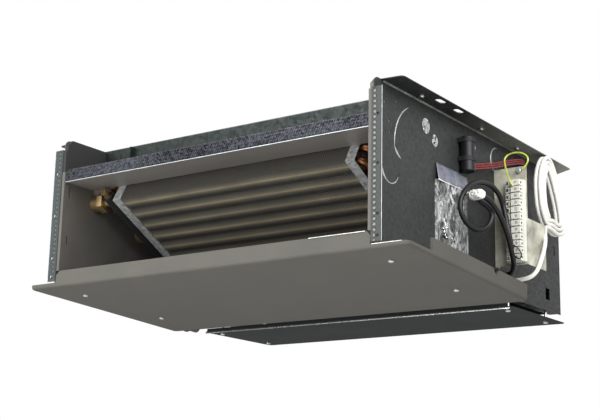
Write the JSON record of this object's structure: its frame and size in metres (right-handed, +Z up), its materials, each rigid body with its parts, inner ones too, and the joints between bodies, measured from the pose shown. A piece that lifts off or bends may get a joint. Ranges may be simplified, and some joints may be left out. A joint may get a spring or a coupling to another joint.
{
  "type": "fan coil unit",
  "caption": "Concealed ceiling fan coil unit: tilted finned water coil over a condensate tray, twin centrifugal fans, filter, wiring and flanged sheet-metal sides.",
  "frame": {"origin": "centre of the top panel's upper face", "axes": "+X to the right seen from the air outlet, +Y from the outlet to the rear, +Z up towards the ceiling"},
  "size_m": [0.6361, 0.536, 0.2381],
  "materials": {
    "galvanised": "spangled zinc coating",
    "dark_sheet": "satin dark coating",
    "tray_plastic": "fine grain",
    "deflector_paint": "satin",
    "foil_foam": "embossed foil face",
    "lining_foam": "matt foam",
    "fins": "fine bare fins",
    "copper": "bare copper",
    "brass": "turned",
    "plated_steel": "zinc plated",
    "shaft_steel": "ground",
    "fan_metal": "pressed strip",
    "scroll_sheet": "zinc coating",
    "motor_paint": "satin black",
    "motor_cap": "die cast",
    "black_rubber": "matt",
    "filter_frame": "moulded",
    "filter_cloth": "fine mesh",
    "terminal_plastic": "moulded",
    "bracket_plastic": "clouded",
    "capacitor_case": "semi-gloss",
    "black_sheath": "smooth sheath",
    "white_sheath": "smooth sheath",
    "tie_plastic": "moulded",
    "red_sheath": "smooth sheath",
    "earth_sheath": "two-coloured sheath",
    "clear_bag": "crumpled clear film"
  },
  "bodies": {
    "case": {"side_panel_right": "galvanised", "side_panel_left": "galvanised", "top_panel": "galvanised", "top_panel_screws": "plated_steel", "top_front_channel": "galvanised", "air_deflector": "deflector_paint", "deflector_foam": "foil_foam", "flange_gaskets": "foil_foam", "insulation_right": "lining_foam", "insulation_left": "lining_foam", "insulation_top": "lining_foam", "drip_tray": "tray_plastic", "tray_screws": "plated_steel", "drain_spigot": "tray_plastic", "bottom_panel": "dark_sheet", "bottom_panel_screws": "plated_steel", "bottom_panel_nuts": "plated_steel", "coil_fins": "fins", "coil_tubes": "copper", "coil_return_bends": "copper", "coil_end_plate_right": "galvanised", "coil_end_plate_left": "galvanised", "coil_rest": "galvanised", "supply_header": "black_rubber", "return_header": "copper", "supply_union": "brass", "return_union": "brass", "air_vent_body": "brass", "fan_deck": "scroll_sheet", "fan_scroll_right": "scroll_sheet", "fan_scroll_left": "scroll_sheet", "motor_housing": "motor_paint", "motor_end_cap_right": "motor_cap", "motor_end_cap_left": "motor_cap", "motor_bearings": "shaft_steel", "motor_rubber_rings": "black_rubber", "motor_cradle": "galvanised", "filter_guides": "galvanised", "terminal_bracket": "bracket_plastic", "terminal_block": "terminal_plastic", "terminal_screws": "plated_steel", "motor_capacitor": "capacitor_case", "capacitor_strap": "black_rubber", "strap_screws": "plated_steel", "cable_grommets": "black_rubber", "black_cable": "black_sheath", "cable_tie": "tie_plastic", "earth_screw": "brass", "white_cable_tail": "white_sheath", "white_cable_hank": "white_sheath", "red_wires": "red_sheath", "earth_wire": "earth_sheath", "accessory_bag": "clear_bag"},
    "rotor": {"impeller_plates": "fan_metal", "impeller_blades": "fan_metal", "impeller_rings": "fan_metal", "motor_shaft": "shaft_steel"},
    "filter": {"filter_frame": "filter_frame", "filter_mesh": "filter_cloth"},
    "vent_screw": {"air_vent_screw": "brass"}
  },
  "joints": [
    {"name": "fan_spin", "type": "hinge", "parent": "case", "child": "rotor", "pos_m": [0, 0.1095, -0.116], "axis": [1, 0, 0], "continuous": true},
    {"name": "filter_slide", "type": "slide", "parent": "case", "child": "filter", "axis": [0, 0, -1], "range_m": [0, 0.225]},
    {"name": "vent_turn", "type": "hinge", "parent": "case", "child": "vent_screw", "pos_m": [-0.222, -0.2577, -0.07594], "axis": [0, 0.8809, -0.4733], "range_deg": [0, 360]}
  ]
}
